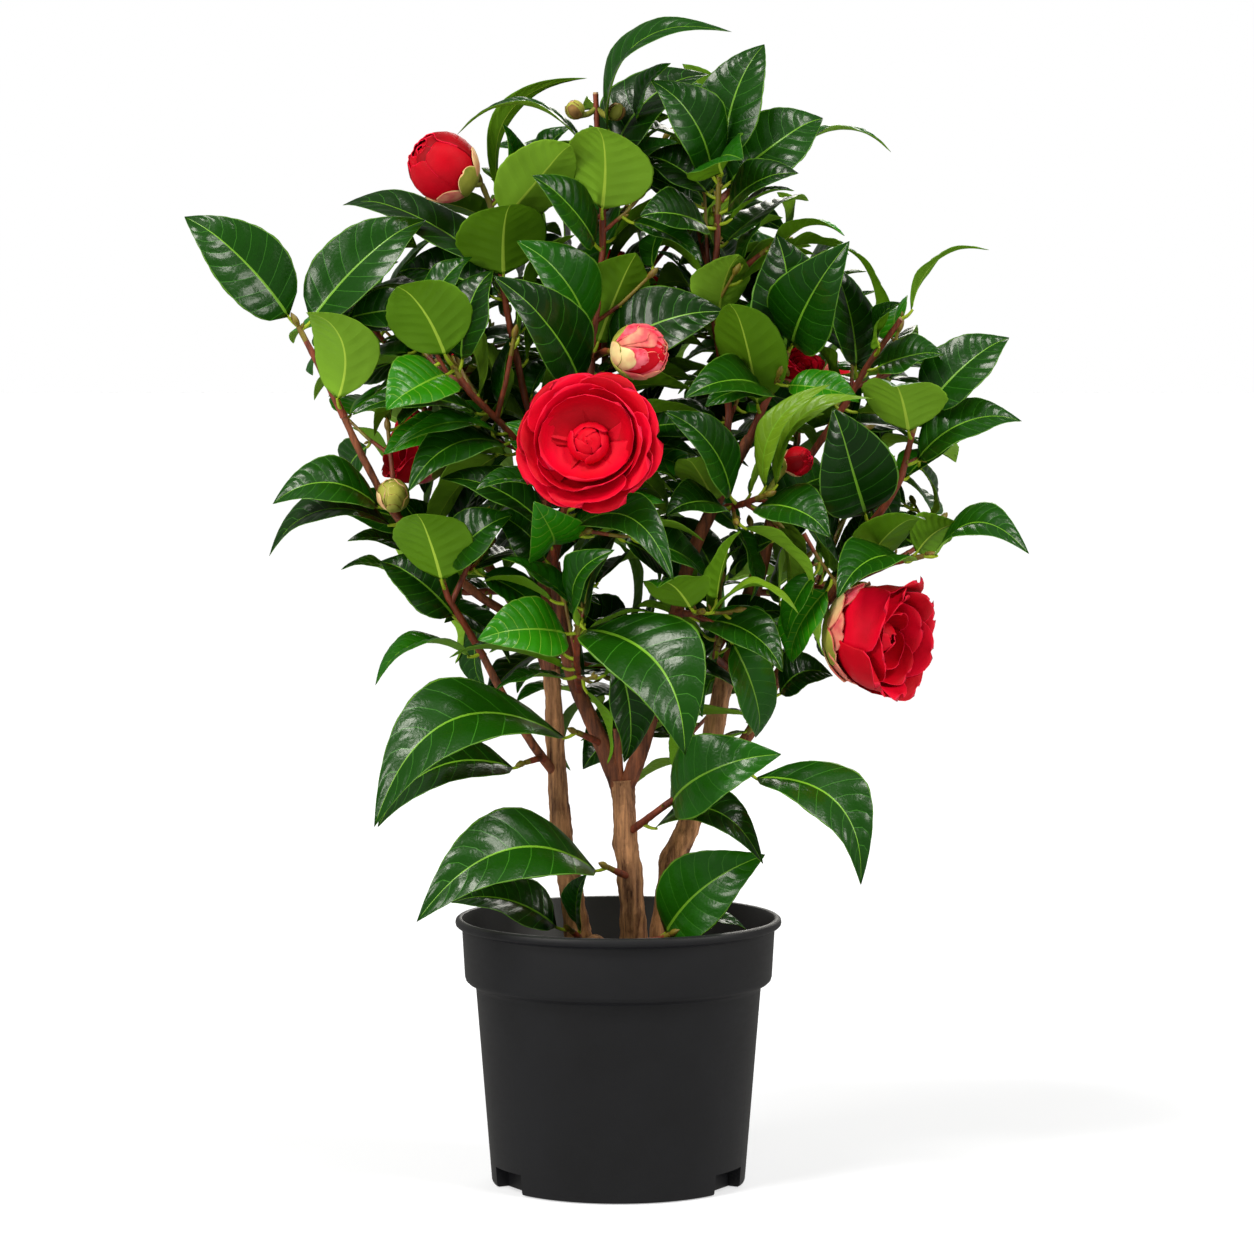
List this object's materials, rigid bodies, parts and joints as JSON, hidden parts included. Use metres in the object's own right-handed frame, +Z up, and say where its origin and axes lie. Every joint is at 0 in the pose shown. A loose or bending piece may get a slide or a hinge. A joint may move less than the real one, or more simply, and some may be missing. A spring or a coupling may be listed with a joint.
{
  "type": "potted camellia shrub",
  "caption": "Evergreen flowering shrub with woody stems, glossy leaves and red double blooms, standing in a round black nursery pot.",
  "frame": {"origin": "centre of the pot's flat underside, where the plant stands", "axes": "+Z up through the pot and the crown, -Y towards the side with the open flower, +X to that side's right"},
  "size_m": [0.478, 0.2824, 0.674],
  "materials": {
    "pot": "satin black",
    "soil": "loose dark potting mix",
    "bark": "fissured reddish brown bark",
    "leaves": "glossy dark green leaves with pale veins, red blooms"
  },
  "bodies": {
    "root": {"pot": "pot", "soil": "soil", "stem_front": "bark", "stem_left": "bark", "stem_right": "bark", "bough_front_left": "bark", "bough_front_right": "bark", "bough_left_high": "bark", "bough_left_low": "bark", "bough_right": "bark", "bough_back_left": "bark", "bough_back_mid": "bark", "bough_back_right": "bark", "foliage_far_left": "leaves", "foliage_left": "leaves", "foliage_left_mid": "leaves", "foliage_left_low": "leaves", "foliage_top_left": "leaves", "foliage_top": "leaves", "foliage_top_right": "leaves", "foliage_mid_right": "leaves", "foliage_upper_right": "leaves", "foliage_right": "leaves", "foliage_right_low": "leaves", "foliage_front": "leaves", "foliage_front_low": "leaves", "foliage_centre_right": "leaves", "foliage_centre_low": "leaves", "foliage_low_right": "leaves", "foliage_low_left": "leaves", "foliage_stem_left": "leaves", "foliage_stem_right": "leaves", "foliage_right_under": "leaves", "foliage_foot_left": "leaves", "foliage_foot_right": "leaves", "foliage_foot_mid": "leaves", "foliage_back_left": "leaves", "foliage_back_left_low": "leaves", "foliage_back_mid": "leaves", "foliage_back_right": "leaves", "foliage_back_right_low": "leaves", "foliage_back_low": "leaves", "foliage_back_centre": "leaves"}
  },
  "joints": []
}
